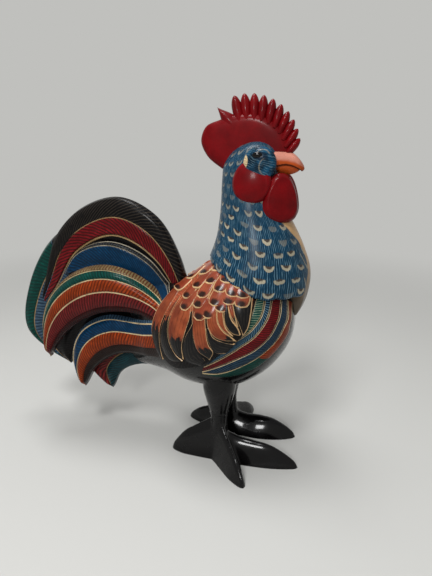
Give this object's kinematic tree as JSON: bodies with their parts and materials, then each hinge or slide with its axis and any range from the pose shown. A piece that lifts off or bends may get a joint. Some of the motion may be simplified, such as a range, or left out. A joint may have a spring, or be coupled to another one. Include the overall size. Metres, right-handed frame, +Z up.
{
  "type": "rooster figurine",
  "caption": "Standing rooster ornament of carved, lacquered wood, with toothed comb, scalloped wings and arched tail plumes; rests on star-shaped feet.",
  "frame": {"origin": "bottom centre of the bounding box, on the floor between beak and tail", "axes": "+X forward along the beak, +Y to the bird's left, +Z up"},
  "size_m": [0.2716, 0.1164, 0.298],
  "materials": {
    "torso_paint": "black ground with painted breast stripes, gloss lacquer",
    "hackle_paint": "blue-green paint with incised lines, satin lacquer",
    "red_lacquer": "deep red, gloss lacquer",
    "beak_paint": "orange, gloss lacquer",
    "eye_paint": "black, gloss lacquer",
    "wing_paint": "orange-brown scallops with cream outlines, gloss lacquer",
    "sickle_paint": "black and dark red bands with incised lines, gloss lacquer",
    "feather_paint": "blue with incised lines, gloss lacquer",
    "plume_paint": "orange, green and dark red bands with cream lines, gloss lacquer",
    "center_plume_paint": "green-blue bands, gloss lacquer",
    "black_lacquer": "black, mirror-gloss lacquer",
    "bare_wood": "plain wood, unpainted"
  },
  "bodies": {
    "root": {"beak_dowel": "bare_wood", "beak_lower": "beak_paint", "beak_upper": "beak_paint", "comb": "red_lacquer", "ear_lobe_left": "red_lacquer", "ear_lobe_right": "red_lacquer", "eye_left": "eye_paint", "eye_right": "eye_paint", "face_disc_left": "hackle_paint", "face_disc_right": "hackle_paint", "foot_left": "black_lacquer", "foot_right": "black_lacquer", "head": "hackle_paint", "head_dowel": "bare_wood", "leg_left": "black_lacquer", "leg_right": "black_lacquer", "neck": "hackle_paint", "neck_dowel": "bare_wood", "tail_center_lower": "center_plume_paint", "tail_center_upper": "center_plume_paint", "tail_dowels": "bare_wood", "tail_feather_left": "feather_paint", "tail_feather_right": "feather_paint", "tail_lower_left": "plume_paint", "tail_lower_right": "plume_paint", "tail_sickle": "sickle_paint", "tail_upper_left": "plume_paint", "tail_upper_right": "plume_paint", "torso": "torso_paint", "wattle_left": "red_lacquer", "wattle_right": "red_lacquer", "wing_left": "wing_paint", "wing_right": "wing_paint"}
  },
  "joints": []
}
